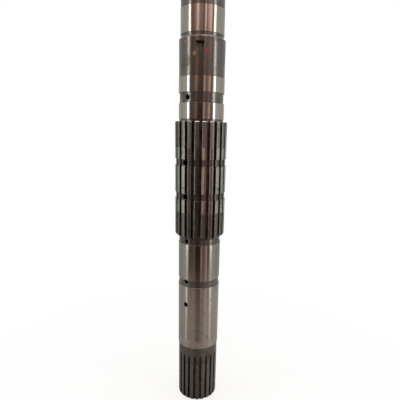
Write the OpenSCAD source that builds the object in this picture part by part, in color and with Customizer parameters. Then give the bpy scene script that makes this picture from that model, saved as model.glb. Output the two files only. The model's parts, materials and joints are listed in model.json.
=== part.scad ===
// Transmission main shaft, turned, splined and ground from one steel bar.
// It stands on its tail end: the origin is the centre of the tail end face, +Z runs up the axis.
// Seen from the front, along +Y, the oil holes lie in one line to the left of the middle.

/* [Tail spline] */
// Outside diameter of the tail spline and of the plain shank behind it
tail_d = 53.9; // [53:0.1:54.8]
// Diameter at the floor of the tail spline's spaces
tail_root_d = 48.6; // [47:0.1:50]
// Number of tail spline keys
tail_teeth = 21; // [18:1:22]
// Width of one straight-sided tail key
tail_key_w = 4.75; // [4.4:0.05:5.4]
// Length of the full-depth spaces, from the end face
tail_full_l = 57; // [45:0.5:60]
// Diameter of the cutter whose arc ends each tail space
tail_cutter_d = 70; // [50:1:80]
// Chamfer at the tail end
tail_chamfer = 1.6; // [0.6:0.1:2.4]
// Turn of the tail spline about the axis, from a key at the front
tail_clock = 0; // [-8:0.5:8]

/* [Rear journals] */
// Distance from the tail end face to the rear journal
shank_l = 82.8; // [78:0.1:95]
// Diameter of the two rear journals
rear_d = 55.2; // [55:0.05:56]
// Length of the rear journal
rear_journal_l = 90.1; // [80:0.1:110]
// Width of the oil groove between the rear journals
rear_groove_w = 8.6; // [6:0.1:11]
// Diameter at the floor of that groove
rear_groove_d = 53.6; // [52:0.1:54.5]
// Length of the gear journal behind the hub spline
gear_journal_l = 49.8; // [40:0.1:65]
// Width of the neck that the hub spline runs out over
neck_w = 7.2; // [5:0.1:10]
// Diameter of that neck
neck_d = 53.4; // [52:0.1:54.5]

/* [Hub spline] */
// Outside diameter of the hub spline
hub_d = 64; // [62.5:0.1:66]
// Diameter at the floor of the hub spline's spaces
hub_root_d = 57; // [56.5:0.1:59]
// Number of hub spline keys
hub_teeth = 22; // [20:1:23]
// Width of one straight-sided hub key
hub_key_w = 5.3; // [5:0.05:6]
// Length of the hub spline
hub_l = 143.9; // [130:0.1:170]
// Chamfer on the rear end of the hub spline
hub_rear_chamfer = 4.3; // [2:0.1:4.3]
// Chamfer on the front end of the hub spline
hub_front_chamfer = 0.8; // [0.4:0.1:2]
// Turn of the hub spline about the axis, from a space at the front
hub_clock = -0.5; // [-8:0.5:8]
// Width of each ring groove in the hub keys
ring_groove_w = 8.1; // [5:0.1:10]
// Diameter at the floor of the ring grooves
ring_groove_d = 62; // [60:0.1:62.2]
// Distance from the rear end of the hub spline to the middle of the first ring groove
ring_groove_at = 54.6; // [45:0.1:65]
// Distance between the two ring grooves
ring_groove_pitch = 41.2; // [30:0.1:50]

/* [Front journals] */
// Width of the relief in front of the hub spline
relief_w = 2.3; // [1.5:0.1:5]
// Diameter of that relief
relief_d = 54; // [53:0.1:54.6]
// Diameter of the front journals
front_d = 55.2; // [55:0.05:56]
// Length of the front journal beside the hub spline
front_journal_l = 18.9; // [15:0.1:25]
// Width of the oil groove between the front journals
front_groove_w = 10.9; // [8:0.1:13]
// Diameter at the floor of that groove
front_groove_d = 52.9; // [52:0.1:54]
// Length of the second front journal
front_band_l = 17.5; // [14:0.1:24]
// Diameter of the unground stop collar
stop_d = 54.6; // [53.5:0.1:54.9]
// Length of the stop collar
stop_l = 42.2; // [34:0.1:50]
// Chamfer on the front end of the stop collar
stop_chamfer = 1.7; // [0.8:0.1:2]

/* [Front end] */
// Width of the relief between the stop collar and the end journal
end_relief_w = 3; // [2.5:0.1:5]
// Diameter of that relief
end_relief_d = 50.3; // [49:0.1:50.8]
// Diameter of the end journal
end_journal_d = 51.3; // [51:0.05:52]
// Length of the end journal
end_journal_l = 27.7; // [22:0.1:40]
// Diameter of the plain nose
nose_d = 50.6; // [49:0.1:50.9]
// Length of the plain nose
nose_l = 25.1; // [15:0.1:40]
// Chamfer on the nose
nose_chamfer = 2; // [1:0.1:4]

/* [Oil ways] */
// Diameter of the oil gallery, drilled along the axis from the nose
gallery_d = 12; // [8:0.5:16]
// Depth of the gallery past the rearmost oil hole
gallery_past = 8; // [6:0.5:15]
// Diameter of the radial oil holes
oil_hole_d = 6; // [4:0.1:7]
// Direction of the line of oil holes about the axis, from +X
oil_angle = 232; // [220:1:240]
// Distance from the start of the rear journal to its oil hole
journal_hole_at = 64.2; // [50:0.1:75]
// Distance from the front wall of the rear oil groove back to its oil hole
groove_hole_back = 1.6; // [1.2:0.1:4]
// Width of the countersink round each oil hole
oil_hole_break = 0.3; // [0.2:0.05:0.6]

/* [Locating notch and centres] */
// Width of the locating notch in the stop collar, at its square front wall
notch_w = 10.5; // [8:0.1:14]
// Depth of the notch at that wall
notch_depth = 3.6; // [2:0.1:4.4]
// Length of the notch, from its square wall back to its point
notch_l = 10.5; // [6:0.1:13]
// Distance from the front end of the stop collar back to the square wall
notch_back = 6.7; // [3:0.1:10]
// Direction of the notch about the axis, from +X
notch_angle = 264.5; // [240:0.5:290]
// Diameter of the cone of the centre hole at the tail
centre_d = 12; // [8:0.5:16]
// Diameter of the pilot drill of that centre
centre_pilot_d = 5; // [3:0.5:6]
// Depth of the pilot drill
centre_pilot_l = 14; // [12:0.5:20]
// Radial width of the centring cone at the mouth of the gallery
mouth_cone = 2.5; // [1:0.1:4]

/* [Edges] */
// Chamfer at the ends of the ground journals
edge_break = 0.5; // [0.2:0.1:0.6]
// Chamfer along the tips of the keys
tip_break = 0.35; // [0.2:0.05:0.5]
// Fillet at the floor of each spline space
root_fillet = 0.5; // [0.3:0.05:0.7]

/* [Hidden] */

$fn = 96;
steel = "#77736c";
past = 1;                // how far a cut runs past the surface that it leaves
drill_point = 118;       // angle of a twist drill's point
centre_cone = 60;        // angle of a centring cone
fillet_step = 30;        // turn between two points of a root fillet
front_angle = 270;       // the front of the shaft, from +X

// Stations along the axis, each from the one before
rear_z = shank_l;
rear_groove_z = rear_z + rear_journal_l;
gear_z = rear_groove_z + rear_groove_w;
neck_z = gear_z + gear_journal_l;
hub_z = neck_z + neck_w;
relief_z = hub_z + hub_l;
front_z = relief_z + relief_w;
front_groove_z = front_z + front_journal_l;
band_z = front_groove_z + front_groove_w;
stop_z = band_z + front_band_l;
end_relief_z = stop_z + stop_l;
end_z = end_relief_z + end_relief_w;
nose_z = end_z + end_journal_l;
shaft_l = nose_z + nose_l;

// Ring grooves and oil holes, placed from what they serve
ring_groove_z = [for (i = [0, 1]) hub_z + ring_groove_at + i * ring_groove_pitch];
journal_hole_z = rear_z + journal_hole_at;
oil_outlets = [                                       // [station, diameter of the surface there]
    [journal_hole_z, rear_d],
    [gear_z - groove_hole_back, rear_groove_d],
    [neck_z + neck_w / 2, neck_d],
    for (z = ring_groove_z) [z, ring_groove_d],
    [front_groove_z + front_groove_w / 2, front_groove_d]
];
gallery_z = journal_hole_z - gallery_past;

// Length of the cone that a drill of diameter d leaves
function point_l(d) = d / 2 / tan(drill_point / 2);

// One turned step from z0 to z1, with a chamfer c0 at its start and c1 at its end
function turned(z0, z1, d, c0 = 0, c1 = 0) = concat(
    c0 > 0 ? [[d / 2 - c0, z0], [d / 2, z0 + c0]] : [[d / 2, z0]],
    c1 > 0 ? [[d / 2, z1 - c1], [d / 2 - c1, z1]] : [[d / 2, z1]]
);

// Half the angle that a spline space takes at radius r
function space_half(r, teeth, key_w) = 180 / teeth - asin(key_w / 2 / r);

// The angle that a length w takes at radius r
function arc_angle(w, r) = w / r * 180 / PI;

function polar(r, a) = [r * cos(a), r * sin(a)];

// One side of a spline space, from outside the shaft down to the floor, as [radius, angle]:
// a tip chamfer of width tip, carried on past the surface, then the flank, then the root fillet
function space_side(d, root_d, teeth, key_w, tip) =
    let (
        floor_r = root_d / 2,
        tip_r = d / 2 - tip,
        tip_a = space_half(tip_r, teeth, key_w),
        flare = tip + past,
        open_r = d / 2 + past,
        wall_r = floor_r + root_fillet,
        wall_a = space_half(wall_r, teeth, key_w)
    )
    concat(
        tip > 0
            ? [[tip_r + flare, tip_a + arc_angle(flare, tip_r)], [tip_r, tip_a]]
            : [[open_r, space_half(open_r, teeth, key_w)]],
        [
            for (a = [0:fillet_step:90]) [
                wall_r - root_fillet * sin(a),
                wall_a - arc_angle(root_fillet * (1 - cos(a)), floor_r)
            ]
        ]
    );

// The whole outline of one space about the +X direction
function space_outline(d, root_d, teeth, key_w, tip) =
    let (side = space_side(d, root_d, teeth, key_w, tip), n = len(side))
    concat(
        [for (p = side) polar(p[0], p[1])],
        [for (i = [n - 1:-1:0]) polar(side[i][0], -side[i][1])]
    );

// The bar after turning and grinding, before any spline or hole is cut
module turned_blank() {
    rotate_extrude()
        polygon(concat(
            [[0, 0]],
            turned(0, rear_z, tail_d, tail_chamfer),
            turned(rear_z, rear_groove_z, rear_d, edge_break, edge_break),
            turned(rear_groove_z, gear_z, rear_groove_d),
            turned(gear_z, neck_z, rear_d, edge_break, edge_break),
            turned(neck_z, hub_z, neck_d),
            turned(hub_z, relief_z, hub_d, hub_rear_chamfer, hub_front_chamfer),
            turned(relief_z, front_z, relief_d),
            turned(front_z, front_groove_z, front_d, edge_break, edge_break),
            turned(front_groove_z, band_z, front_groove_d),
            turned(band_z, stop_z, front_d, edge_break),
            turned(stop_z, end_relief_z, stop_d, 0, stop_chamfer),
            turned(end_relief_z, end_z, end_relief_d),
            turned(end_z, nose_z, end_journal_d, edge_break, edge_break),
            turned(nose_z, shaft_l, nose_d, 0, nose_chamfer),
            [[0, shaft_l]]
        ));
}

// The outlines of all spaces of one spline
module spline_spaces(d, root_d, teeth, key_w) {
    for (i = [0:teeth - 1])
        rotate(i * 360 / teeth)
            polygon(space_outline(d, root_d, teeth, key_w, tip_break));
}

// Hub spline: the spaces run straight through, out over the neck and the relief
module hub_spaces() {
    translate([0, 0, hub_z - past])
        rotate(front_angle + hub_clock)
            linear_extrude(hub_l + 2 * past)
                spline_spaces(hub_d, hub_root_d, hub_teeth, hub_key_w);
}

// The arc that the cutter leaves where one tail space runs out into the shank. It has no tip
// chamfer, because that is filed along the full-depth length only.
module cutter_run_out() {
    cutter_r = tail_cutter_d / 2;
    reach = tail_root_d / 2 + cutter_r;
    leave = acos((reach - tail_d / 2 - past) / cutter_r);
    outline = space_outline(tail_d, tail_root_d, tail_teeth, tail_key_w, 0);
    translate([reach, 0, 0])
        rotate([90, 0, 180])
            rotate_extrude(angle = leave)
                polygon([for (p = outline) [reach - p[0], p[1]]]);
}

// Tail spline: straight spaces from the end face, each ended by the cutter's arc
module tail_spaces() {
    rotate(front_angle + tail_clock + 180 / tail_teeth) {
        translate([0, 0, -past])
            linear_extrude(tail_full_l + past)
                spline_spaces(tail_d, tail_root_d, tail_teeth, tail_key_w);
        for (i = [0:tail_teeth - 1])
            rotate(i * 360 / tail_teeth)
                translate([0, 0, tail_full_l])
                    cutter_run_out();
    }
}

module ring_grooves() {
    for (z = ring_groove_z)
        translate([0, 0, z - ring_groove_w / 2])
            difference() {
                cylinder(d = hub_d + 2 * past, h = ring_groove_w);
                translate([0, 0, -past])
                    cylinder(d = ring_groove_d, h = ring_groove_w + 2 * past);
            }
}

// Blind gallery with a drill point at its end and a centring cone at its mouth
module oil_gallery() {
    cone_l = mouth_cone / tan(centre_cone / 2);
    translate([0, 0, gallery_z])
        cylinder(d = gallery_d, h = shaft_l - gallery_z + past);
    translate([0, 0, gallery_z - point_l(gallery_d)])
        cylinder(d1 = 0, d2 = gallery_d, h = point_l(gallery_d));
    translate([0, 0, shaft_l - cone_l])
        cylinder(d1 = gallery_d, d2 = gallery_d + 2 * mouth_cone, h = cone_l);
}

// Radial oil holes from the gallery, each with a small countersink at its outlet
module oil_holes() {
    for (outlet = oil_outlets)
        translate([0, 0, outlet[0]])
            rotate([0, 90, oil_angle]) {
                cylinder(d = oil_hole_d, h = hub_d);
                translate([0, 0, outlet[1] / 2 - oil_hole_break])
                    cylinder(
                        d1 = oil_hole_d,
                        d2 = oil_hole_d + 4 * oil_hole_break,
                        h = 2 * oil_hole_break
                    );
            }
}

// Notch that deepens forwards to a square wall: a cone laid along the collar, point to the rear
module locating_notch() {
    cone_r = (pow(notch_w / 2, 2) + pow(notch_depth, 2)) / (2 * notch_depth);
    wall_z = end_relief_z - notch_back;
    rotate(notch_angle)
        translate([stop_d / 2 - notch_depth + cone_r, 0, wall_z - notch_l])
            cylinder(r1 = cone_r - notch_depth, r2 = cone_r, h = notch_l);
}

// Centre hole in the tail end face, left from turning and grinding between centres
module tail_centre() {
    cone_l = (centre_d - centre_pilot_d) / 2 / tan(centre_cone / 2);
    cylinder(d1 = centre_d, d2 = centre_pilot_d, h = cone_l);
    translate([0, 0, -past])
        cylinder(d = centre_pilot_d, h = centre_pilot_l + past);
    translate([0, 0, centre_pilot_l])
        cylinder(d1 = centre_pilot_d, d2 = 0, h = point_l(centre_pilot_d));
}

module main_shaft() {
    color(steel)
        difference() {
            turned_blank();
            hub_spaces();
            tail_spaces();
            ring_grooves();
            oil_gallery();
            oil_holes();
            locating_notch();
            tail_centre();
        }
}

main_shaft();
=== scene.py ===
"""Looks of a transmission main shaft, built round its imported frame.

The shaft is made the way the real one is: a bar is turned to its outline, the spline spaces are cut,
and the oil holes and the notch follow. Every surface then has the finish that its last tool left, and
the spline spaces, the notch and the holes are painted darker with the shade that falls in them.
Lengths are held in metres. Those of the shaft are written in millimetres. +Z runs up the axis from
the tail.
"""

import json
import math

import bmesh
import bpy
from bpy.props import FloatProperty, FloatVectorProperty, IntProperty, PointerProperty
from bpy.types import Operator, Panel, PropertyGroup
from mathutils import Matrix, Vector


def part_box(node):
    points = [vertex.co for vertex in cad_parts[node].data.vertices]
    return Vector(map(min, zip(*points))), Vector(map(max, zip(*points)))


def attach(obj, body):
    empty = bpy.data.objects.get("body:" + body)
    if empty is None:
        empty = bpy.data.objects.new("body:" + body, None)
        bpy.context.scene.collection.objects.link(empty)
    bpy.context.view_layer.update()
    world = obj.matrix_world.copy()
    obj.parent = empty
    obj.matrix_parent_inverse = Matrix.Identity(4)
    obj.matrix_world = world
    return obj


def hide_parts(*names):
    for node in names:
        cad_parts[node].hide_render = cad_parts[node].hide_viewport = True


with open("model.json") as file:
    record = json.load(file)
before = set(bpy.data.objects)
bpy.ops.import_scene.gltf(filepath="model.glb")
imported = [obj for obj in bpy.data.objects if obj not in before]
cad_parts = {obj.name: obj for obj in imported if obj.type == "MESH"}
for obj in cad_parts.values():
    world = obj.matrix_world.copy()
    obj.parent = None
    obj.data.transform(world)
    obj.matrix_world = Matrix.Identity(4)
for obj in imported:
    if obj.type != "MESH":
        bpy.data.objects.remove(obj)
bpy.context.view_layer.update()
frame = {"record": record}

bl_info = {
    "name": "Transmission Main Shaft",
    "version": (1, 0, 0),
    "blender": (4, 5, 0),
    "location": "3D View > Sidebar > Main Shaft",
    "description": "Turns, cuts and finishes a splined transmission main shaft",
    "category": "Add Mesh",
}

MM = 0.001
BODY = "root"
NODE = "main_shaft"

SHAFT_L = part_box(NODE)[1].z
SEATS = {m["name"]: m for m in frame["record"]["mounts"] if m["kind"] in ("pin", "bore")}

FRONT = math.radians(-90)           # the side of the shaft that faces -Y, from +X
DRILL_POINT = math.radians(118)     # angle of a twist drill's point
CENTRE_CONE = math.radians(60)      # angle of a centring cone
SMOOTH_UNDER = math.radians(35)     # edges flatter than this are shaded as one surface
TURNED_WITHIN = 0.03                # how far a turned face may point sideways, as a sine
ROUND_SIDES = 192                   # flats round the shaft, too fine to show
HOLE_SIDES = 64
FILLET_STEPS = 3
TIP_STEPS = 5
TIP_LIFT = 0.01 * MM                # how far above a key's top its worn tip starts
RUN_OUT_STEPS = 14
PAST = 1 * MM                       # how far a cutter runs past the surface that it leaves
SAME_POINT = 0.001 * MM             # two points of an outline closer than this are one

# Finishes, by their place in the shaft's list of materials
GROUND, HANDLED, SCUFFED, DARK, RUBBED, LAND, FLANK, BORE = range(8)

# Dabs of marking paint on the stop collar: name, paint, height of the middle in millimetres, its
# direction in degrees from +X, width and length in millimetres, and how much the dab narrows
# towards the nose
DABS = (
    ("paint_dab_red_side", "faded", 466.9, 227.4, 4.8, 5.0, 0.1),
    ("paint_dab_red", "red", 457.5, 279.0, 4.4, 5.2, 0.0),
    ("paint_dab_yellow", "yellow", 455.0, 251.2, 4.0, 5.2, 0.1),
)
DAB_THICK = 0.1 * MM
DAB_LOBES = (3, 5)                  # waves round the uneven edge of a dab
DAB_WOBBLE = 0.08                   # how far they reach, as a share of the dab's half width
DAB_SIDES = 48
DAB_RINGS = 6

# Noise values between which a stain or a handling mark comes in, before its share is taken off
STAIN_EDGE = (0.66, 0.8)
NICK_EDGE = (0.8, 0.84)
STAIN_DETAIL = 5.0
STAIN_ROUGHNESS = 0.6
NICK_L = 5 * MM                     # handling marks, drawn wider than real ones so that they show
NICK_W = 1 * MM
LINE_DETAIL = 3.0
LINE_STRETCH = 0.03                 # how fast a tool line changes round the axis, against along it
QUARTER_TURN = 0.25                 # as the shader counts turns: from round the axis to along it
OIL_ROUGHNESS = 0.12

PAINT_SPECK_L = 1.6 * MM            # specks of thin paint, drawn coarser than real ones to show
PAINT_NOISE = (0.35, 0.7)           # noise values of the thinnest and thickest paint
PAINT_SHARE = (0.55, 1.1)           # how bright its colour is there
PAINT_DETAIL = 3.0
PAINT_ROUGHNESS = 0.4

# What stands round the shaft, by its direction in degrees from the camera's side towards +X
ROOM = (
    (-180, "backdrop"), (-169, "backdrop"), (-158, "wall"), (-115, "wall"), (-85, "lit_wall"),
    (-61, "lit_wall"), (-59, "gap"), (-55, "shade"), (-35, "shade"), (-32, "screen"), (-29, "screen"),
    (-24, "shade"), (-20, "gap"), (4, "gap"), (8, "shade"), (10, "gleam"), (14, "gleam"), (17, "shade"),
    (26, "screen"), (33, "screen"), (36, "gleam"), (42, "gleam"), (45, "shade"), (55, "shade"),
    (58, "lit_wall"), (80, "lit_wall"), (115, "wall"), (158, "wall"), (169, "backdrop"),
    (180, "backdrop"),
)
# The same above the screens
ROOM_ABOVE = (
    (-180, "backdrop"), (-169, "backdrop"), (-158, "wall"), (-62, "wall"), (-60, "shade"),
    (-48, "shade"), (-40, "screen"), (-33, "screen"), (-29, "gleam"), (-20, "gleam"), (-16, "screen"),
    (3, "screen"), (6, "gap"), (10, "gap"), (13, "gleam"), (19, "gleam"), (23, "shade"), (27, "shade"),
    (30, "gleam"), (35, "screen"), (39, "gleam"), (48, "gleam"), (51, "shade"), (57, "shade"),
    (60, "wall"), (158, "wall"), (169, "backdrop"), (180, "backdrop"),
)
SCREEN_TOP = (12, 14)               # degrees above the horizon between which the screens end
SCREEN_TONES = ("screen", "shade", "gleam", "gap")
CEILING_FROM = (35, 55)             # degrees above the horizon between which the ceiling takes over
TOP_LIGHT = 2.2                     # how much more light the screens have at their tops
# How bright the room is by its height in degrees above the horizon
LEVELS = ((-60, 0.45), (-25, 0.65), (-10, 0.85), (0, 1.0), (90, 1.0))
# The floor as the steel sees it, by direction as above, with painted light and shade: dim in front, lit
# on the right
FLOOR_TONES = (
    (-180, "floor_painted_half_light"), (-26, "floor_painted_half_light"), (-10, "floor_painted_shade"), (8, "floor_painted_shade"), (24, "floor_painted_half_light"),
    (34, "floor_painted_light"), (180, "floor_painted_light"),
)

# Softboxes: name, direction and elevation in degrees, distance, width, height and middle height in
# metres, and radiance, where 1 is white
LAMPS = (
    ("softbox_left", -69.5, 0, 1.35, 0.205, 1.35, 0.545, 4.6),
    ("softbox_right", 66, 0, 1.35, 0.21, 1.35, 0.545, 4.6),
    ("softbox_overhead", 150, 83, 1.4, 0.8, 0.7, 0.3, 2.5),
)

FLOOR_R = 450 * MM
FLOOR_THICK = 4 * MM
FLOOR_OUTLINE = ((0, -FLOOR_THICK, 0), (FLOOR_R, -FLOOR_THICK, 0), (FLOOR_R, 0, 0), (0, 0, 0))
WHITE_FROM = 50 * MM                # how far out the floor starts to fade to plain white
WHITE_SHARE = 0.8                   # how white it is there already, as the camera sees it
AHEAD = (-420 * MM, -260 * MM)      # Y over which the floor in the steel comes up to full light
AHEAD_LIGHT = 0.5                   # share of that light farther in front, as painted shade
CLOSE = (120 * MM, 240 * MM)        # distances from the axis over which it does so too
CLOSE_LIGHT = 0.7                   # share of that light nearer to the shaft, as a painted shadow
CLOSEST_SEEN = 10 * MM              # what is nearer to the camera than this isn't drawn


def linear(code):
    """The linear colour of a hex code, by the curve that sRGB is defined with."""
    parts = [int(code[i : i + 2], 16) / 255 for i in (1, 3, 5)]
    return [c / 12.92 if c <= 0.04045 else ((c + 0.055) / 1.055) ** 2.4 for c in parts]


def seat(name):
    """(rear end, front end, radius) of a seat that the record holds."""
    found = SEATS[name]
    half = found["dims"]["length_mm"] * MM / 2
    middle = found["pos_m"][2]
    return middle - half, middle + half, found["dims"]["r_mm"] * MM


def size(name, description, millimetres):
    """A length property whose default is written in millimetres."""
    return FloatProperty(
        name=name, description=description, default=millimetres * MM, min=0, unit="LENGTH", precision=5
    )


def angle(name, description, degrees):
    """An angle property whose default is written in degrees."""
    return FloatProperty(
        name=name, description=description, default=math.radians(degrees), subtype="ANGLE"
    )


def colour(name, description, code):
    """A colour property whose default is an sRGB hex code."""
    return FloatVectorProperty(
        name=name, description=description, default=linear(code), min=0, max=1, subtype="COLOR"
    )


class TurnedSizes(PropertyGroup):
    """What the lathe leaves between the ground seats."""

    shank_d: size("Shank diameter", "Outside of the tail spline and the plain shank", 53.9)
    tail_chamfer: size("Tail chamfer", "Chamfer at the tail end", 1.6)
    scuffed_l: size("Scuffed length", "Foot of the rear seat that a sleeve rubbed matt", 11.5)
    rear_groove_d: size("Rear groove diameter", "Floor of the groove between the rear seats", 53.6)
    neck_d: size("Neck diameter", "Neck that the hub spline runs out over", 53.4)
    neck_w: size("Neck width", "Width of that neck", 7.2)
    relief_d: size("Relief diameter", "Relief in front of the hub spline", 54)
    front_groove_d: size("Front groove diameter", "Floor of the groove between the front seats", 52.9)
    collar_d: size("Collar diameter", "Unground stop collar", 54.6)
    collar_l: size("Collar length", "Length of the stop collar", 42.2)
    collar_chamfer: size("Collar chamfer", "Chamfer on the collar's front end", 1.7)
    end_relief_d: size("End relief diameter", "Relief behind the end seat", 50.3)
    nose_d: size("Nose diameter", "Plain nose", 50.6)
    nose_chamfer: size("Nose chamfer", "Chamfer on the nose", 2)
    seat_edge: size("Seat edge", "Chamfer at the ends of the ground seats", 0.5)
    corner_edge: size("Corner edge", "Chamfer on the keys where a ring groove cuts them", 0.2)


class HubSplineSizes(PropertyGroup):
    """The wide spline in the middle of the shaft."""

    keys: IntProperty(name="Keys", description="Number of keys", default=22, min=6)
    outside_d: size("Outside diameter", "Over the keys", 64)
    floor_d: size("Floor diameter", "At the floor of the spaces", 57)
    key_w: size("Key width", "Width of one straight-sided key", 5.3)
    length: size("Length", "Length of the hub spline", 143.9)
    rear_chamfer: size("Rear chamfer", "Chamfer on the rear end", 4.3)
    front_chamfer: size("Front chamfer", "Chamfer on the front end", 0.8)
    clock: angle("Clocking", "Turn of the spline from a space at the front", -0.5)
    worn_width: size("Worn tip width", "How far in the driving tip of a key is worn", 0.6)
    ring_w: size("Ring groove width", "Width of each ring groove in the keys", 8.1)
    ring_d: size("Ring groove diameter", "Floor of the ring grooves", 62)
    ring_at: size("First ring groove", "From the spline's rear end to the groove's middle", 54.6)
    ring_pitch: size("Ring groove pitch", "Between the middles of the two ring grooves", 41.2)
    ground_rear: size("Ground length behind", "Ground part of the keys behind the ring grooves", 16.4)
    ground_front: size("Ground length in front", "Ground part of the keys in front of them", 14)


class TailSplineSizes(PropertyGroup):
    """The narrow spline at the shaft's foot."""

    keys: IntProperty(name="Keys", description="Number of keys", default=21, min=6)
    floor_d: size("Floor diameter", "At the floor of the spaces", 48.6)
    key_w: size("Key width", "Width of one straight-sided key", 4.75)
    worn_width: size("Worn tip width", "How far in the driving tip of a key is worn", 0.3)
    full_l: size("Full depth", "Length of the full-depth spaces from the end face", 57)
    cutter_d: size("Cutter diameter", "Diameter of the cutter whose arc ends each space", 70)
    clock: angle("Clocking", "Turn of the spline from a key at the front", 0)


class CutSizes(PropertyGroup):
    """Spline edges, oil holes, centres and the locating notch."""

    tip_edge: size("Tip edge", "Radius of the rounding along the tips of the keys", 0.3)
    root_fillet: size("Root fillet", "Fillet at the floor of each spline space", 0.5)
    oil_d: size("Oil hole", "Diameter of the radial oil holes", 6)
    oil_edge: size("Oil hole edge", "Width of the countersink round each oil hole", 0.3)
    oil_side: angle("Oil hole side", "Direction of the line of oil holes from +X", 232)
    seat_hole: size("Rear seat hole", "From the start of the rear seat to its oil hole", 64.2)
    groove_hole: size("Groove hole", "From the rear groove's front wall back to its oil hole", 1.6)
    mouth_cone: size("Mouth cone", "Radial width of the centring cone at the gallery's mouth", 2.5)
    centre_d: size("Centre hole", "Diameter of the cone of the centre hole at the tail", 12)
    pilot_d: size("Centre pilot", "Diameter of that centre's pilot drill", 5)
    pilot_l: size("Pilot depth", "Depth of the pilot drill", 14)
    notch_w: size("Notch width", "Width of the notch at its square front wall", 10.5)
    notch_depth: size("Notch depth", "Depth of the notch at that wall", 3.6)
    notch_l: size("Notch length", "From the square wall back to the notch's point", 10.5)
    notch_back: size("Notch setback", "From the collar's front end back to the square wall", 6.7)
    notch_side: angle("Notch side", "Direction of the notch from +X", 264.5)


class FinishColours(PropertyGroup):
    """Colours of the steel where each tool left it, with painted shade in the flank and drilled steel,
    and of the paint.
    """

    ground: colour("Ground steel", "Seats finished on the grinder", "#a6a29b")
    scuffed: colour("Scuffed steel", "Foot of the rear seat, rubbed matt by a sleeve", "#9b9997")
    dark: colour("Dark steel", "Turned surfaces, darkened in the furnace", "#6b6864")
    rubbed: colour("Rubbed steel", "Dark steel rubbed brighter on the key tops", "#7c7b76")
    scale: colour("Furnace scale", "Brown-black patches on the dark steel", "#55504a")
    land: colour("Ground lands", "Key tops that the grinder touched, and worn edges", "#afafa9")
    # The flanks' near-black is furnace-dark steel with the painted shade of the spline spaces on top
    flank: colour("Spline flanks", "Hobbed flanks and floors of the splines", "#3d3833")
    # The near-black of the drilled steel is painted shade, inside the oil holes and centres
    bore: colour("Drilled steel", "Walls of the oil holes and centres", "#25211e")
    red: colour("Red paint", "Inspection dab on the stop collar", "#b0404c")
    faded: colour("Faded red paint", "The dab that was wiped while it was wet", "#a3666b")
    yellow: colour("Yellow paint", "Inspection dab on the stop collar", "#9a9440")


class StageSettings(PropertyGroup):
    """The camera, and the colours of the floor and the room."""

    distance: size("Camera distance", "From the shaft's axis, along -Y", 469.7)
    height: size("Camera height", "Above the floor", 368.9)
    lens: FloatProperty(
        name="Lens", description="Focal length", default=32.87, min=1, unit="CAMERA"
    )
    pitch: angle("Pitch", "How far the camera looks down", 15.02)
    yaw: angle("Yaw", "How far the camera looks to the right of the axis", 2.5)
    roll: angle("Roll", "Turn of the camera about its own line of sight", 1.53)
    shift_x: FloatProperty(
        name="Shift X", description="Sideways shift, as a part of the frame", default=-0.0374
    )
    shift_y: FloatProperty(
        name="Shift Y", description="Upward shift, as a part of the frame", default=0.0793
    )
    floor: colour("Floor", "Pale floor that the shaft stands on", "#f2f1ee")
    # The floor in the steel has painted light and shade: dimmest in front, lit on the right
    floor_painted_shade: colour("Dim floor", "The floor in the steel, in front", "#9b8e88")
    floor_painted_half_light: colour("Middling floor", "The floor in the steel, on the left", "#b9b2ad")
    floor_painted_light: colour("Lit floor", "The floor in the steel, on the right", "#cac6c4")
    backdrop: colour("Backdrop", "White backdrop behind the shaft", "#ffffff")
    ceiling: colour("Ceiling", "White ceiling", "#ffffff")
    wall: colour("Wall", "Pale grey walls at the sides", "#cac9c3")
    lit_wall: colour("Lit wall", "The same walls beside the softboxes", "#e2e0dc")
    screen: colour("Screen", "Brown screens in front, where light falls on them", "#95796e")
    shade: colour("Shade", "The same screens in shade", "#6e5850")
    gleam: colour("Gleam", "Lit edges of the screens", "#ecc7be")
    gap: colour("Gap", "Dark gaps between the screens", "#2c1d19")


class ShaftSettings(PropertyGroup):
    """Everything that a user may change."""

    turned: PointerProperty(type=TurnedSizes, name="Turned sizes")
    hub: PointerProperty(type=HubSplineSizes, name="Hub spline")
    tail: PointerProperty(type=TailSplineSizes, name="Tail spline")
    cuts: PointerProperty(type=CutSizes, name="Cuts")
    colours: PointerProperty(type=FinishColours, name="Colours")
    stage: PointerProperty(type=StageSettings, name="Stage")


class Stations:
    """Heights along the axis, from the record's seats and the sizes between them."""

    def __init__(self, shaft):
        edge = shaft.turned.seat_edge
        hub = shaft.hub
        rear_low, rear_high, self.rear_r = seat("rear_journal")
        gear_low, gear_high, self.gear_r = seat("gear_journal")
        front_low, front_high, self.front_r = seat("front_journal")
        band_low, self.collar, self.band_r = seat("front_band")
        end_low, end_high, self.end_r = seat("end_journal")
        self.rear, self.rear_groove = rear_low - edge, rear_high + edge
        self.gear, self.neck = gear_low - edge, gear_high + edge
        self.hub = self.neck + shaft.turned.neck_w
        self.relief = self.hub + hub.length
        self.front, self.front_groove = front_low - edge, front_high + edge
        self.band = band_low - edge
        self.end_relief = self.collar + shaft.turned.collar_l
        self.end, self.nose = end_low - edge, end_high + edge
        self.rings = [self.hub + hub.ring_at + i * hub.ring_pitch for i in (0, 1)]
        self.ground_land = (
            self.rings[0] - hub.ring_w / 2 - hub.ground_rear,
            self.rings[1] + hub.ring_w / 2 + hub.ground_front,
        )


def step(low, high, radius, finish, rear=0.0, front=0.0, edge=DARK):
    """One turned step of the outline as (radius, height, finish of the stretch that ends there).
    The wall that leads up to it is dark steel, and edge is the finish of its chamfers."""
    points = [(radius - rear, low, DARK)]
    if rear:
        points.append((radius, low + rear, edge))
    points.append((radius, high - front, finish))
    if front:
        points.append((radius - front, high, edge))
    return points


def point_l(diameter):
    """Length of the cone that a twist drill leaves."""
    return diameter / 2 / math.tan(DRILL_POINT / 2)


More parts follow.
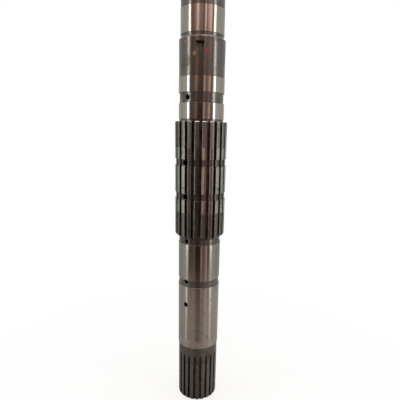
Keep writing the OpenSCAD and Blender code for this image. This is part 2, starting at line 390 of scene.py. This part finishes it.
def hub_steps(shaft, at):
    """The hub spline's lands, ground in the middle, with the two ring grooves."""
    hub, nip = shaft.hub, shaft.turned.corner_edge
    radius, ring_r = hub.outside_d / 2, hub.ring_d / 2
    low_ring, high_ring = at.rings
    half = hub.ring_w / 2
    low, high = at.ground_land
    return [
        *step(at.hub, low, radius, DARK, rear=hub.rear_chamfer),
        *step(low, low_ring - half, radius, LAND, front=nip, edge=RUBBED),
        *step(low_ring - half, low_ring + half, ring_r, DARK),
        *step(low_ring + half, high_ring - half, radius, LAND, rear=nip, front=nip, edge=RUBBED),
        *step(high_ring - half, high_ring + half, ring_r, DARK),
        *step(high_ring + half, high, radius, LAND, rear=nip, edge=RUBBED),
        *step(high, at.relief, radius, RUBBED, front=hub.front_chamfer, edge=LAND),
    ]


def shaft_outline(shaft, at):
    """The half outline of the turned, ground and drilled bar, from the tail's centre hole up the
    outside and down the oil gallery."""
    turned, cuts = shaft.turned, shaft.cuts
    edge = turned.seat_edge
    centre_r, pilot_r = cuts.centre_d / 2, cuts.pilot_d / 2
    gallery_low, _, gallery_r = seat("oil_gallery")
    mouth_r = gallery_r + cuts.mouth_cone
    cone = 1 / math.tan(CENTRE_CONE / 2)
    return [
        (0, cuts.pilot_l + point_l(cuts.pilot_d), BORE),
        (pilot_r, cuts.pilot_l, BORE),
        (pilot_r, (centre_r - pilot_r) * cone, BORE),
        (centre_r, 0, BORE),
        *step(0, shaft.tail.full_l, turned.shank_d / 2, RUBBED, rear=turned.tail_chamfer),
        *step(shaft.tail.full_l, at.rear, turned.shank_d / 2, DARK),
        *step(at.rear, at.rear + turned.scuffed_l, at.rear_r, SCUFFED, rear=edge, edge=SCUFFED),
        *step(at.rear + turned.scuffed_l, at.rear_groove, at.rear_r, HANDLED, front=edge),
        *step(at.rear_groove, at.gear, turned.rear_groove_d / 2, DARK),
        *step(at.gear, at.neck, at.gear_r, GROUND, rear=edge, front=edge),
        *step(at.neck, at.hub, turned.neck_d / 2, DARK),
        *hub_steps(shaft, at),
        *step(at.relief, at.front, turned.relief_d / 2, DARK),
        *step(at.front, at.front_groove, at.front_r, GROUND, rear=edge, front=edge),
        *step(at.front_groove, at.band, turned.front_groove_d / 2, DARK),
        *step(at.band, at.collar, at.band_r, GROUND, rear=edge),
        *step(
            at.collar, at.end_relief, turned.collar_d / 2, DARK, front=turned.collar_chamfer, edge=LAND
        ),
        *step(at.end_relief, at.end, turned.end_relief_d / 2, DARK),
        *step(at.end, at.nose, at.end_r, GROUND, rear=edge, front=edge),
        *step(at.nose, SHAFT_L, turned.nose_d / 2, DARK, front=turned.nose_chamfer),
        (mouth_r, SHAFT_L, DARK),
        (gallery_r, SHAFT_L - cuts.mouth_cone * cone, BORE),
        (gallery_r, gallery_low, BORE),
        (0, gallery_low - point_l(gallery_r * 2), BORE),
    ]


def skin(mesh, rings):
    """Joins closed rings of the bmesh's points, and gives the faces of each stretch between two. The
    first and last ring may be one point, which closes the form."""
    sides = max(len(ring) for ring in rings)
    stretches = []
    for low, high in zip(rings, rings[1:]):
        faces = []
        for i in range(sides):
            j = (i + 1) % sides
            corners = [low[i % len(low)], low[j % len(low)], high[j % len(high)], high[i % len(high)]]
            faces.append(mesh.faces.new(list(dict.fromkeys(corners))))
        stretches.append(faces)
    return stretches


def revolve(mesh, outline, sides, place=Matrix()):
    """Adds to the bmesh the closed solid that the outline makes round Z, then placed by a matrix."""
    points = [outline[0]]
    for point in outline[1:]:
        if math.dist(point[:2], points[-1][:2]) > SAME_POINT:
            points.append(point)
    turns = [2 * math.pi * i / sides for i in range(sides)]
    rings = []
    for radius, height, _ in points:
        spots = [(radius * math.cos(a), radius * math.sin(a), height) for a in turns]
        rings.append([mesh.verts.new(place @ Vector(s)) for s in (spots if radius else spots[:1])])
    for faces, (_, _, finish) in zip(skin(mesh, rings), points[1:]):
        for face in faces:
            face.material_index = finish


def sweep(mesh, loops, finishes):
    """Adds to the bmesh a closed solid through loops of points, with flat ends. finishes has one
    for each stretch of a loop."""
    rings = [[mesh.verts.new(p) for p in loop] for loop in loops]
    for end in (rings[0], rings[-1]):
        mesh.faces.new(end).material_index = FLANK
    for low, high in zip(rings, rings[1:]):
        for i, finish in enumerate(finishes):
            wall = mesh.faces.new([low[i - 1], low[i], high[i], high[i - 1]])
            wall.material_index = finish


def space_outline(outside_r, floor_r, keys, key_w, worn_width, cuts):
    """The outline of one spline space about +X: rounded tip, straight flank and root fillet a side,
    with the tips that drive worn wider. With it comes the finish of each stretch, which ends at the
    point of the same place."""

    def half_angle(radius):
        return math.pi / keys - math.asin(key_w / 2 / radius)

    def side(tip_width, tip_finish):
        tip_r = outside_r - cuts.tip_edge
        wall_r = floor_r + cuts.root_fillet
        top = outside_r + TIP_LIFT
        points = [(top + PAST, half_angle(tip_r) + tip_width / tip_r, tip_finish)]
        for i in range(TIP_STEPS + 1):
            a = math.pi / 2 * i / TIP_STEPS
            outward = tip_width * (1 - math.sin(a)) / tip_r
            height = tip_r + (top - tip_r) * math.cos(a)
            points.append((height, half_angle(tip_r) + outward, tip_finish))
        for i in range(FILLET_STEPS + 1):
            a = math.pi / 2 * i / FILLET_STEPS
            inward = cuts.root_fillet * (1 - math.cos(a)) / floor_r
            height = wall_r - cuts.root_fillet * math.sin(a)
            points.append((height, half_angle(wall_r) - inward, FLANK))
        return points

    worn, fresh = side(worn_width, LAND), side(cuts.tip_edge, FLANK)
    finishes = [f for _, _, f in worn] + [FLANK] + [f for _, _, f in reversed(fresh[1:])]
    whole = [(r, a) for r, a, _ in worn] + [(r, -a) for r, a, _ in reversed(fresh)]
    return [(r * math.cos(a), r * math.sin(a)) for r, a in whole], finishes


def around(keys, start):
    """A matrix for each of the spline's spaces."""
    return [Matrix.Rotation(start + 2 * math.pi * i / keys, 3, "Z") for i in range(keys)]


def add_hub_spaces(mesh, shaft, at):
    """Straight spaces, out over the neck and the relief."""
    hub = shaft.hub
    outline, finishes = space_outline(
        hub.outside_d / 2, hub.floor_d / 2, hub.keys, hub.key_w, hub.worn_width, shaft.cuts
    )
    heights = (at.hub - PAST, at.relief + PAST)
    for turn in around(hub.keys, FRONT + hub.clock):
        sweep(mesh, [[turn @ Vector((x, y, z)) for x, y in outline] for z in heights], finishes)


def add_tail_spaces(mesh, shaft):
    """Straight spaces from the end face, each ended by the arc of its cutter."""
    tail = shaft.tail
    outside_r, cutter_r = shaft.turned.shank_d / 2, tail.cutter_d / 2
    outline, finishes = space_outline(
        outside_r, tail.floor_d / 2, tail.keys, tail.key_w, tail.worn_width, shaft.cuts
    )
    reach = tail.floor_d / 2 + cutter_r
    leave = math.acos((reach - outside_r - PAST) / cutter_r)
    loops = [[(x, y, -PAST) for x, y in outline]]
    for i in range(RUN_OUT_STEPS + 1):
        c, s = math.cos(leave * i / RUN_OUT_STEPS), math.sin(leave * i / RUN_OUT_STEPS)
        loops.append([(reach - (reach - x) * c, y, tail.full_l + (reach - x) * s) for x, y in outline])
    for turn in around(tail.keys, FRONT + tail.clock + math.pi / tail.keys):
        sweep(mesh, [[turn @ Vector(p) for p in loop] for loop in loops], finishes)


def add_oil_holes(mesh, shaft, at):
    """Radial holes out of the gallery, each with a small countersink at its outlet. The countersink's
    cone goes on as far above the surface as it goes in."""
    cuts, turned = shaft.cuts, shaft.turned
    radius, edge = cuts.oil_d / 2, cuts.oil_edge
    outlets = [
        (at.rear + cuts.seat_hole, at.rear_r),
        (at.gear - cuts.groove_hole, turned.rear_groove_d / 2),
        ((at.neck + at.hub) / 2, turned.neck_d / 2),
        *((z, shaft.hub.ring_d / 2) for z in at.rings),
        ((at.front_groove + at.band) / 2, turned.front_groove_d / 2),
    ]
    far = shaft.hub.outside_d
    outward = Matrix.Rotation(cuts.oil_side, 4, "Z") @ Matrix.Rotation(math.pi / 2, 4, "Y")
    for height, surface_r in outlets:
        outline = [
            (0, 0, BORE),
            (radius, 0, BORE),
            (radius, surface_r - edge, BORE),
            (radius + 2 * edge, surface_r + edge, DARK),
            (radius, surface_r + edge, BORE),
            (radius, far, BORE),
            (0, far, BORE),
        ]
        revolve(mesh, outline, HOLE_SIDES, Matrix.Translation((0, 0, height)) @ outward)


def add_notch(mesh, shaft, at):
    """A notch that deepens forwards to a square wall: a cone laid along the collar."""
    cuts = shaft.cuts
    cone_r = ((cuts.notch_w / 2) ** 2 + cuts.notch_depth**2) / (2 * cuts.notch_depth)
    wall = at.end_relief - cuts.notch_back
    middle = shaft.turned.collar_d / 2 - cuts.notch_depth + cone_r
    outline = [
        # The back and the ramp take the near-black flank steel, which paints the shade in the notch
        (0, wall - cuts.notch_l, FLANK),
        (cone_r - cuts.notch_depth, wall - cuts.notch_l, FLANK),
        (cone_r, wall, FLANK),
        (0, wall, RUBBED),
    ]
    place = Matrix.Rotation(cuts.notch_side, 4, "Z") @ Matrix.Translation((middle, 0, 0))
    revolve(mesh, outline, HOLE_SIDES, place)


def solid(name, materials, build):
    """A closed mesh object made by build, which adds to the bmesh that it is given."""
    mesh = bmesh.new()
    build(mesh)
    bmesh.ops.recalc_face_normals(mesh, faces=mesh.faces)
    data = bpy.data.meshes.new(name)
    mesh.to_mesh(data)
    mesh.free()
    for material in materials:
        data.materials.append(material)
    made = bpy.data.objects.new(name, data)
    bpy.context.scene.collection.objects.link(made)
    return made


def cut(target, cutter):
    """Cuts the closed solid cutter out of target, and removes it."""
    change = target.modifiers.new("cut", "BOOLEAN")
    change.operation = "DIFFERENCE"
    change.solver = "MANIFOLD"
    change.object = cutter
    before = target.data
    graph = bpy.context.evaluated_depsgraph_get()
    target.data = bpy.data.meshes.new_from_object(target.evaluated_get(graph))
    target.modifiers.clear()
    bpy.data.meshes.remove(before)
    bpy.data.meshes.remove(cutter.data)


def shade_as_turned(data):
    """Smooth shading by angle, with the true round normals wherever the surface was turned."""
    data.shade_smooth()
    data.set_sharp_from_angle(angle=SMOOTH_UNDER)
    normals = [corner.vector.copy() for corner in data.corner_normals]
    for face in data.polygons:
        outward = Vector((face.center.x, face.center.y, 0)).normalized()
        slope = face.normal.dot(outward)
        sideways = abs(outward.cross(face.normal).z)
        if face.material_index in (FLANK, BORE) or sideways > TURNED_WITHIN:
            continue
        for i in face.loop_indices:
            spot = data.vertices[data.loops[i].vertex_index].co
            normals[i] = Vector((spot.x, spot.y, 0)).normalized() * slope
            normals[i].z = face.normal.z
            normals[i].normalize()
    data.normals_split_custom_set(normals)


def node(tree, kind, sockets=None, stops=(), **settings):
    """Adds a node with its settings and the stops of its ramp, and fills or links its sockets."""
    made = tree.nodes.new(kind)
    for name, value in settings.items():
        setattr(made, name, value)
    for i, (position, tone) in enumerate(stops):
        elements = made.color_ramp.elements
        element = elements[i] if i < len(elements) else elements.new(position)
        element.position = position
        element.color = (*tone, 1)
    for name, value in (sockets or {}).items():
        if isinstance(value, bpy.types.NodeSocket):
            tree.links.new(value, made.inputs[name])
        else:
            made.inputs[name].default_value = value
    return made


def new_material(name):
    """An empty node material."""
    material = bpy.data.materials.new(name)
    material.use_nodes = True
    material.node_tree.nodes.clear()
    return material


def steel(
    name, clean, stained, stain_l, stain_cover, roughness, line_l, line_depth,
    spread=0.0, oil=0.0, oxide=0.0, nicks=0.0,
):
    """Bare alloy steel with tool lines round the axis, stains, and a film of oil.

    stain_l is the size of one stain. stain_cover and nicks grow with the parts of the surface
    under stains and under short handling marks. roughness holds that of clean and of stained steel.
    line_l and line_depth are the pitch and depth of the tool lines, and spread is how much further
    they spread light along the axis than round it. oil and oxide are the parts of the surface under
    an oil film and under dull oxide."""
    material = new_material(name)
    tree = material.node_tree
    spot = node(tree, "ShaderNodeTexCoord").outputs["Object"]
    patch = node(
        tree,
        "ShaderNodeTexNoise",
        {"Vector": spot, "Scale": 1 / stain_l, "Detail": STAIN_DETAIL, "Roughness": STAIN_ROUGHNESS},
    )
    faint, full = (edge - stain_cover / 2 for edge in STAIN_EDGE)
    stain = node(
        tree,
        "ShaderNodeMapRange",
        {"Value": patch.outputs["Fac"], "From Min": faint, "From Max": full},
        interpolation_type="SMOOTHSTEP",
    )
    across = node(
        tree, "ShaderNodeMapping", {"Vector": spot, "Scale": (1 / NICK_L, 1 / NICK_L, 1 / NICK_W)}
    )
    marks = node(tree, "ShaderNodeTexNoise", {"Vector": across.outputs[0], "Scale": 1.0, "Detail": 0.0})
    faint, full = (edge - nicks for edge in NICK_EDGE)
    nick = node(
        tree, "ShaderNodeMapRange", {"Value": marks.outputs["Fac"], "From Min": faint, "From Max": full}
    )
    dirt = node(
        tree, "ShaderNodeMath", {0: stain.outputs[0], 1: nick.outputs[0]}, operation="MAXIMUM"
    )
    tone = node(
        tree,
        "ShaderNodeMix",
        {"Factor": dirt.outputs[0], 6: (*clean, 1), 7: (*stained, 1)},
        data_type="RGBA",
    )
    slow = LINE_STRETCH / line_l
    along = node(tree, "ShaderNodeMapping", {"Vector": spot, "Scale": (slow, slow, 1 / line_l)})
    lines = node(
        tree, "ShaderNodeTexNoise", {"Vector": along.outputs[0], "Scale": 1.0, "Detail": LINE_DETAIL}
    )
    relief = node(
        tree,
        "ShaderNodeBump",
        {"Height": lines.outputs["Fac"], "Distance": line_depth, "Strength": 1.0},
    )
    gloss = node(
        tree,
        "ShaderNodeMapRange",
        {"Value": dirt.outputs[0], "To Min": roughness[0], "To Max": roughness[1]},
    )
    round_axis = node(tree, "ShaderNodeTangent", direction_type="RADIAL", axis="Z")
    shader = node(
        tree,
        "ShaderNodeBsdfPrincipled",
        {
            "Base Color": tone.outputs[2],
            "Metallic": 1.0 - oxide,
            "Roughness": gloss.outputs[0],
            "Anisotropic": spread,
            "Anisotropic Rotation": QUARTER_TURN,
            "Tangent": round_axis.outputs[0],
            "Normal": relief.outputs[0],
            "Coat Weight": oil,
            "Coat Roughness": OIL_ROUGHNESS,
        },
    )
    node(tree, "ShaderNodeOutputMaterial", {"Surface": shader.outputs[0]})
    return material


def shaft_steels(colours):
    """The shaft's finishes, in the order of their places. Real grinding, turning and drilling lines
    are finer than 0.3 mm, so they are drawn 0.8 to 1.5 mm apart, as coarse as they need to be to
    show. A hob's feed marks really are 2 mm apart."""
    return (
        # Case-hardened alloy steel off the cylindrical grinder. It mirrors the room as long bands up
        # the shaft, sharp round it and softer along it.
        steel(
            "ground_alloy_steel", colours.ground, colours.dark, stain_l=9 * MM, stain_cover=0.08,
            roughness=(0.17, 0.24), line_l=0.8 * MM, line_depth=0.001 * MM, spread=0.8,
        ),
        # The same steel where hands and bearings have been at it: softer bands, with short dark marks.
        steel(
            "handled_ground_steel", colours.ground, colours.dark, stain_l=9 * MM, stain_cover=0.08,
            roughness=(0.21, 0.29), line_l=0.8 * MM, line_depth=0.001 * MM, spread=1.0, nicks=0.05,
        ),
        # The same steel rubbed matt by a sleeve: pale, cloudy, and with no clear reflection.
        steel(
            "sleeve_scuffed_steel", colours.scuffed, colours.ground, stain_l=3 * MM, stain_cover=0.5,
            roughness=(0.4, 0.5), line_l=0.8 * MM, line_depth=0.002 * MM, spread=0.3, oxide=0.2,
            nicks=0.04,
        ),
        # Steel as the lathe left it, darkened in the hardening furnace and lightly oiled: a dark satin
        # with brown-black patches of scale.
        steel(
            "furnace_dark_turned_steel", colours.dark, colours.scale, stain_l=14 * MM, stain_cover=0.3,
            roughness=(0.24, 0.34), line_l=1.2 * MM, line_depth=0.002 * MM, spread=0.5, oil=0.15,
            oxide=0.15,
        ),
        # The same dark steel, rubbed by the part that slides on it: a little paler and duller.
        steel(
            "rubbed_turned_steel", colours.rubbed, colours.dark, stain_l=7 * MM, stain_cover=0.3,
            roughness=(0.32, 0.42), line_l=1.2 * MM, line_depth=0.003 * MM, spread=0.3, oil=0.1,
            oxide=0.1,
        ),
        # Key tops that the grinder just reached: bright, with dark remains of the furnace's skin.
        steel(
            "ground_key_tops", colours.land, colours.rubbed, stain_l=6 * MM, stain_cover=0.25,
            roughness=(0.18, 0.24), line_l=0.8 * MM, line_depth=0.002 * MM, spread=0.8,
        ),
        # Steel as the hob left it, furnace dark and oily, painted darker still to nearly black as the
        # shade in the spline spaces, with wet-looking glints.
        steel(
            "hobbed_oily_steel_and_painted_shade", colours.flank, colours.scale, stain_l=8 * MM, stain_cover=0.4,
            roughness=(0.35, 0.5), line_l=2 * MM, line_depth=0.01 * MM, oil=0.2, oxide=0.1,
        ),
        # Steel as the drill left it, rough, and painted near black as the shade inside the holes and
        # centres.
        steel(
            "drilled_steel_painted_shade", colours.bore, colours.bore, stain_l=8 * MM, stain_cover=0.3,
            roughness=(0.5, 0.6), line_l=1.5 * MM, line_depth=0.01 * MM, oxide=0.1,
        ),
    )


def brushed_paint(name, tone):
    """Marking enamel brushed on by hand: slightly glossy, and darker in specks where it is thin."""
    material = new_material(name)
    tree = material.node_tree
    spot = node(tree, "ShaderNodeTexCoord").outputs["Object"]
    wear = node(
        tree,
        "ShaderNodeTexNoise",
        {"Vector": spot, "Scale": 1 / PAINT_SPECK_L, "Detail": PAINT_DETAIL},
    )
    shade = node(
        tree,
        "ShaderNodeMapRange",
        {
            "Value": wear.outputs["Fac"],
            "From Min": PAINT_NOISE[0],
            "From Max": PAINT_NOISE[1],
            "To Min": PAINT_SHARE[0],
            "To Max": PAINT_SHARE[1],
        },
    )
    worn = node(
        tree, "ShaderNodeVectorMath", {0: tuple(tone), "Scale": shade.outputs[0]}, operation="SCALE"
    )
    shader = node(
        tree, "ShaderNodeBsdfPrincipled", {"Base Color": worn.outputs[0], "Roughness": PAINT_ROUGHNESS}
    )
    node(tree, "ShaderNodeOutputMaterial", {"Surface": shader.outputs[0]})
    return material


def add_dab(mesh, collar_r, height, side, width, length, taper):
    """A closed, domed dab of paint wrapped on the collar. taper narrows it towards the nose."""

    def spot(out, turn, lift):
        waves = math.sin(DAB_LOBES[0] * turn + height / MM) + math.sin(DAB_LOBES[1] * turn) / 2
        reach = out * (1 + DAB_WOBBLE * waves)
        across = reach * math.cos(turn) * width / 2
        up = reach * math.sin(turn)
        way = side + across * (1 - taper * up) / collar_r
        radius = collar_r + lift
        return radius * math.cos(way), radius * math.sin(way), height + up * length / 2

    turns = [2 * math.pi * i / DAB_SIDES for i in range(DAB_SIDES)]
    outs = [(i + 1) / DAB_RINGS for i in range(DAB_RINGS)]
    lifts = [DAB_THICK * math.sqrt(1 - out**2) for out in outs]
    stack = [(0, DAB_THICK)] + list(zip(outs, lifts)) + [(out, -DAB_THICK) for out in reversed(outs)]
    stack.append((0, -DAB_THICK))
    rings = [
        [mesh.verts.new(spot(out, turn, lift)) for turn in (turns if out else turns[:1])]
        for out, lift in stack
    ]
    skin(mesh, rings)


class MAINSHAFT_OT_shaft(Operator):
    """Turn, cut and finish the shaft in place of its plain CAD solid"""

    bl_idname = "main_shaft.add_shaft"
    bl_label = "Add Shaft"

    def execute(self, context):
        shaft = context.scene.main_shaft
        at = Stations(shaft)

        def spaces(mesh):
            add_hub_spaces(mesh, shaft, at)
            add_tail_spaces(mesh, shaft)

        def holes(mesh):
            add_oil_holes(mesh, shaft, at)
            add_notch(mesh, shaft, at)

        steels = shaft_steels(shaft.colours)
        outline = shaft_outline(shaft, at)
        piece = solid("main_shaft_body", steels, lambda mesh: revolve(mesh, outline, ROUND_SIDES))
        for build in (spaces, holes):
            cut(piece, solid("cutter", steels, build))
        shade_as_turned(piece.data)
        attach(piece, BODY)
        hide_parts(NODE)
        return {"FINISHED"}


class MAINSHAFT_OT_paint(Operator):
    """Brush the inspection dabs onto the stop collar"""

    bl_idname = "main_shaft.add_paint"
    bl_label = "Add Paint Dabs"

    def execute(self, context):
        shaft = context.scene.main_shaft
        collar_r = shaft.turned.collar_d / 2
        paints = {
            "red": brushed_paint("red_marking_enamel", shaft.colours.red),
            "faded": brushed_paint("wiped_red_marking_enamel", shaft.colours.faded),
            "yellow": brushed_paint("yellow_marking_enamel", shaft.colours.yellow),
        }
        for name, paint, height, side, width, length, taper in DABS:
            piece = solid(
                name,
                [paints[paint]],
                lambda mesh: add_dab(
                    mesh, collar_r, height * MM, math.radians(side), width * MM, length * MM, taper
                ),
            )
            piece.data.shade_smooth()
            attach(piece, BODY)
        return {"FINISHED"}


def bearing(tree, vector):
    """A 0 to 1 value for a vector's direction round the shaft: 0.5 is the camera's side, 0 and 1
    the far side."""
    way = node(tree, "ShaderNodeSeparateXYZ", {0: vector}).outputs
    forward = node(tree, "ShaderNodeMath", {0: way["Y"], 1: -1.0}, operation="MULTIPLY")
    turn = node(tree, "ShaderNodeMath", {0: way["X"], 1: forward.outputs[0]}, operation="ARCTAN2")
    place = node(
        tree,
        "ShaderNodeMapRange",
        {"Value": turn.outputs[0], "From Min": -math.pi, "From Max": math.pi},
    )
    return place.outputs[0]


def bearing_stop(degrees):
    """The place on bearing's scale of a direction in degrees from the camera's side."""
    return (degrees + 180) / 360


def studio_room(tones):
    """What the steel sees round it: pale walls at the sides, brown screens and dark gaps in front,
    where the camera stands, the white backdrop behind and a white ceiling. The camera sees white."""
    world = bpy.data.worlds.new("studio_room")
    world.use_nodes = True
    tree = world.node_tree
    tree.nodes.clear()
    direction = node(tree, "ShaderNodeTexCoord").outputs["Generated"]
    rise = node(tree, "ShaderNodeSeparateXYZ", {0: direction}).outputs["Z"]
    place = bearing(tree, direction)
    walls = []
    for row, screen_light in ((ROOM, 1.0), (ROOM_ABOVE, TOP_LIGHT)):
        stops = []
        for degrees, tone in row:
            light = screen_light if tone in SCREEN_TONES else 1.0
            stops.append((bearing_stop(degrees), [c * light for c in getattr(tones, tone)]))
        walls.append(node(tree, "ShaderNodeValToRGB", {0: place}, stops).outputs[0])
    low, high = (math.sin(math.radians(degrees)) for degrees in SCREEN_TOP)
    above = node(tree, "ShaderNodeMapRange", {"Value": rise, "From Min": low, "From Max": high})
    room = node(
        tree, "ShaderNodeMix", {"Factor": above.outputs[0], 6: walls[0], 7: walls[1]}, data_type="RGBA"
    )
    low, high = (math.sin(math.radians(degrees)) for degrees in CEILING_FROM)
    overhead = node(tree, "ShaderNodeMapRange", {"Value": rise, "From Min": low, "From Max": high})
    whole = node(
        tree,
        "ShaderNodeMix",
        {"Factor": overhead.outputs[0], 6: room.outputs[2], 7: (*tones.ceiling, 1)},
        data_type="RGBA",
    )
    height = node(tree, "ShaderNodeMapRange", {"Value": rise, "From Min": -1.0, "From Max": 1.0})
    levels = [((math.sin(math.radians(degrees)) + 1) / 2, [level] * 3) for degrees, level in LEVELS]
    strength = node(tree, "ShaderNodeValToRGB", {0: height.outputs[0]}, levels).outputs[0]
    lit = node(tree, "ShaderNodeBackground", {"Color": whole.outputs[2], "Strength": strength})
    white = node(tree, "ShaderNodeBackground", {"Color": (1, 1, 1, 1), "Strength": 1.0})
    camera_ray = node(tree, "ShaderNodeLightPath").outputs["Is Camera Ray"]
    seen = node(tree, "ShaderNodeMixShader", {0: camera_ray, 1: lit.outputs[0], 2: white.outputs[0]})
    node(tree, "ShaderNodeOutputWorld", {"Surface": seen.outputs[0]})
    return world


def pale_floor(tones):
    """Matt painted board. The camera sees it near white with the shaft's shadow, which fades out
    towards the rim. The steel sees it with painted light and shade: dimmer, darker far in front, and
    with a painted shadow close to the shaft."""
    material = new_material("pale_floor")
    tree = material.node_tree
    spot = node(tree, "ShaderNodeTexCoord").outputs["Object"]
    away = node(tree, "ShaderNodeVectorMath", {0: spot}, operation="LENGTH").outputs["Value"]
    fade = node(
        tree,
        "ShaderNodeMapRange",
        {"Value": away, "From Min": WHITE_FROM, "From Max": FLOOR_R, "To Min": WHITE_SHARE},
    )
    board = node(tree, "ShaderNodeBsdfDiffuse", {"Color": (*tones.floor, 1)})
    white = node(tree, "ShaderNodeEmission", {"Color": (1, 1, 1, 1), "Strength": 1.0})
    pale = node(
        tree, "ShaderNodeMixShader", {0: fade.outputs[0], 1: board.outputs[0], 2: white.outputs[0]}
    )
    stops = [(bearing_stop(degrees), getattr(tones, tone)) for degrees, tone in FLOOR_TONES]
    tone = node(tree, "ShaderNodeValToRGB", {0: bearing(tree, spot)}, stops)
    # Painted shade far in front and a painted shadow near the shaft, on the floor as the steel sees it
    ahead = node(tree, "ShaderNodeSeparateXYZ", {0: spot}).outputs["Y"]
    far = node(
        tree,
        "ShaderNodeMapRange",
        {"Value": ahead, "From Min": AHEAD[0], "From Max": AHEAD[1], "To Min": AHEAD_LIGHT},
    )
    painted_contact_shadow = node(
        tree,
        "ShaderNodeMapRange",
        {"Value": away, "From Min": CLOSE[0], "From Max": CLOSE[1], "To Min": CLOSE_LIGHT},
    )
    share = node(tree, "ShaderNodeMath", {0: far.outputs[0], 1: painted_contact_shadow.outputs[0]}, operation="MULTIPLY")
    light = node(
        tree, "ShaderNodeVectorMath", {0: tone.outputs[0], "Scale": share.outputs[0]}, operation="SCALE"
    )
    floor_with_painted_light = node(tree, "ShaderNodeBsdfDiffuse", {"Color": light.outputs[0]})
    camera_ray = node(tree, "ShaderNodeLightPath").outputs["Is Camera Ray"]
    surface = node(
        tree, "ShaderNodeMixShader", {0: camera_ray, 1: floor_with_painted_light.outputs[0], 2: pale.outputs[0]}
    )
    node(tree, "ShaderNodeOutputMaterial", {"Surface": surface.outputs[0]})
    return material


def add_lamp(name, direction, elevation, distance, width, height, middle, radiance):
    """A softbox that faces the shaft's axis. direction turns from the camera's side (-Y) towards +X."""
    lamp = bpy.data.lights.new(name, "AREA")
    lamp.shape = "RECTANGLE"
    lamp.size, lamp.size_y = width, height
    lamp.energy = radiance * math.pi * width * height
    holder = bpy.data.objects.new(name, lamp)
    turn = Matrix.Rotation(FRONT + direction, 4, "Z") @ Matrix.Rotation(-elevation, 4, "Y")
    out = turn @ Vector((distance, 0, 0))
    holder.matrix_world = (
        Matrix.Translation(out + Vector((0, 0, middle)))
        @ turn
        @ Matrix.Rotation(math.pi / 2, 4, "Z")
        @ Matrix.Rotation(math.pi / 2, 4, "X")
    )
    holder.visible_camera = False
    bpy.context.scene.collection.objects.link(holder)


class MAINSHAFT_OT_stage(Operator):
    """Add the floor, the lamps, the room and the camera"""

    bl_idname = "main_shaft.add_stage"
    bl_label = "Add Stage"

    def execute(self, context):
        scene = context.scene
        stage = scene.main_shaft.stage
        board = pale_floor(stage)
        floor = solid("floor", [board], lambda mesh: revolve(mesh, FLOOR_OUTLINE, ROUND_SIDES))
        scene.world = studio_room(stage)
        for name, direction, elevation, *sizes_and_light in LAMPS:
            add_lamp(name, math.radians(direction), math.radians(elevation), *sizes_and_light)
        camera = bpy.data.objects.new("camera", bpy.data.cameras.new("camera"))
        camera.data.lens = stage.lens
        camera.data.shift_x = stage.shift_x
        camera.data.shift_y = stage.shift_y
        camera.data.clip_start = CLOSEST_SEEN
        camera.matrix_world = (
            Matrix.Translation((0, -stage.distance, stage.height))
            @ Matrix.Rotation(-stage.yaw, 4, "Z")
            @ Matrix.Rotation(math.pi / 2 - stage.pitch, 4, "X")
            @ Matrix.Rotation(stage.roll, 4, "Z")
        )
        scene.collection.objects.link(camera)
        scene.camera = camera
        scene.view_settings.view_transform = "Standard"
        return {"FINISHED"}


class MAINSHAFT_PT_sidebar(Panel):
    """Lists the shaft's pieces and its stage"""

    bl_label = "Main Shaft"
    bl_idname = "MAINSHAFT_PT_sidebar"
    bl_space_type = "VIEW_3D"
    bl_region_type = "UI"
    bl_category = "Main Shaft"

    def draw(self, context):
        shaft = context.scene.main_shaft
        for operator in (MAINSHAFT_OT_shaft, MAINSHAFT_OT_paint, MAINSHAFT_OT_stage):
            self.layout.operator(operator.bl_idname)
        for name in shaft.bl_rna.properties.keys():
            group = getattr(shaft, name)
            if not isinstance(group, PropertyGroup):
                continue
            box = self.layout.box()
            box.label(text=shaft.bl_rna.properties[name].name)
            for prop in group.bl_rna.properties.keys():
                if prop not in ("rna_type", "name"):
                    box.prop(group, prop)


CLASSES = (
    TurnedSizes,
    HubSplineSizes,
    TailSplineSizes,
    CutSizes,
    FinishColours,
    StageSettings,
    ShaftSettings,
    MAINSHAFT_OT_shaft,
    MAINSHAFT_OT_paint,
    MAINSHAFT_OT_stage,
    MAINSHAFT_PT_sidebar,
)


def register():
    """Registers the classes and hangs the settings on the scene."""
    for cls in CLASSES:
        bpy.utils.register_class(cls)
    bpy.types.Scene.main_shaft = PointerProperty(type=ShaftSettings)


def unregister():
    """Takes the settings and the classes away again."""
    del bpy.types.Scene.main_shaft
    for cls in reversed(CLASSES):
        bpy.utils.unregister_class(cls)


def main():
    """Registers the add-on, and makes every piece and the stage."""
    register()
    bpy.ops.main_shaft.add_shaft()
    bpy.ops.main_shaft.add_paint()
    bpy.ops.main_shaft.add_stage()


if __name__ == "__main__":
    main()
